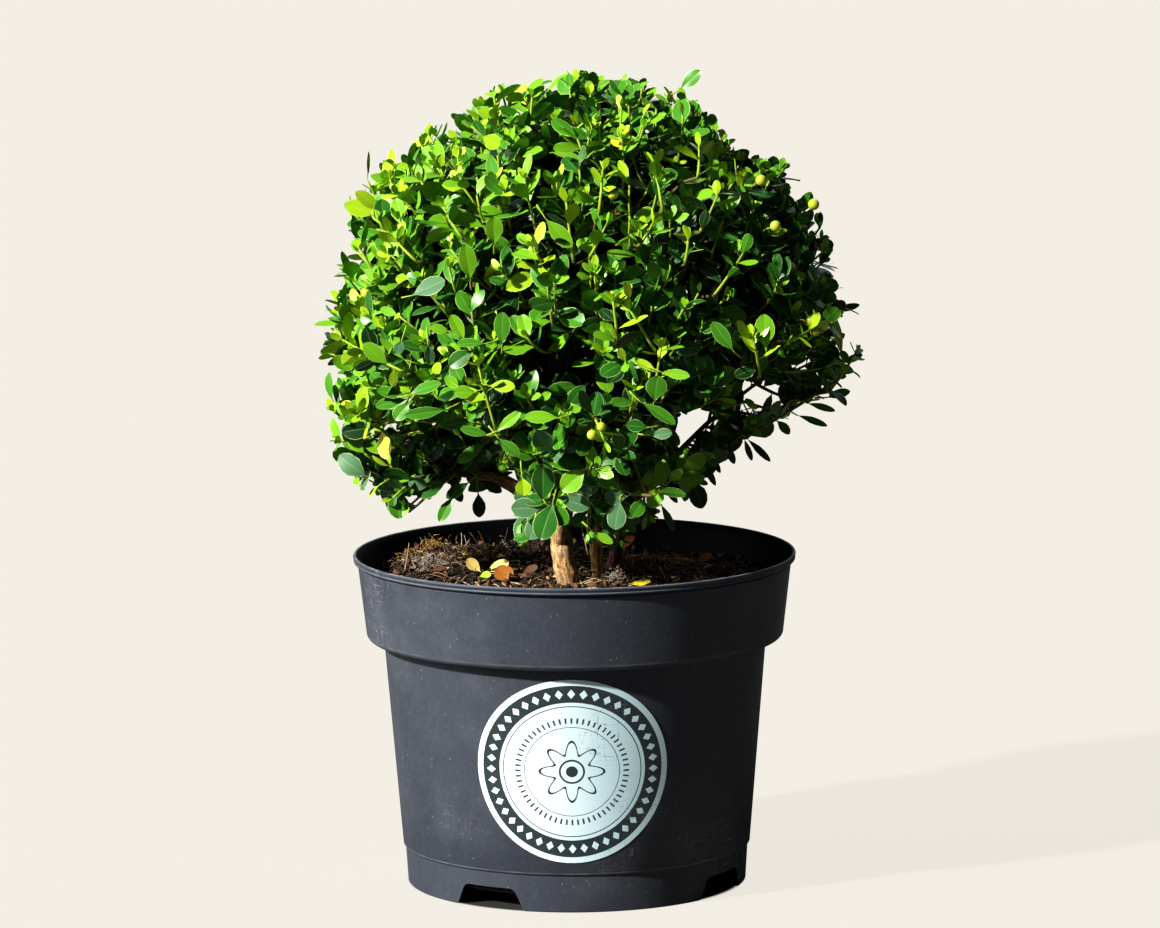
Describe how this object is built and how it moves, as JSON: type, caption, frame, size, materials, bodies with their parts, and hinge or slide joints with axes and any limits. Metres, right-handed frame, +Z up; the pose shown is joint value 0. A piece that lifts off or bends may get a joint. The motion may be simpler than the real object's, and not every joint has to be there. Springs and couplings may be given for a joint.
{
  "type": "japanese_holly",
  "caption": "Japanese holly clipped to a dense dome on three short stems, in a round black plastic nursery pot with a plain ringed label.",
  "frame": {"origin": "middle of the pot's flat underside", "axes": "+Z up; the pot's label and the crown's pictured side face -Y; +X is to the right seen from the front"},
  "size_m": [0.32, 0.312, 0.479],
  "materials": {
    "black_plastic": "satin dark slate plastic, lightly scuffed",
    "label_film": "printed film, silver and dark rings",
    "compost": "dark fibrous potting compost",
    "bark": "tan flaking bark",
    "leaf_green": "glossy evergreen leaves"
  },
  "bodies": {
    "root": {"pot": "black_plastic", "label": "label_film", "soil": "compost", "trunk": "bark", "stem_right": "bark", "stem_back": "bark", "bough_left": "bark", "bough_right": "bark", "bough_back": "bark", "bough_front": "bark", "bough_front_right": "bark", "bough_left_high": "bark", "bough_back_left": "bark", "crown": "leaf_green", "spray_left": "leaf_green", "spray_right": "leaf_green", "spray_back": "leaf_green"}
  },
  "joints": []
}
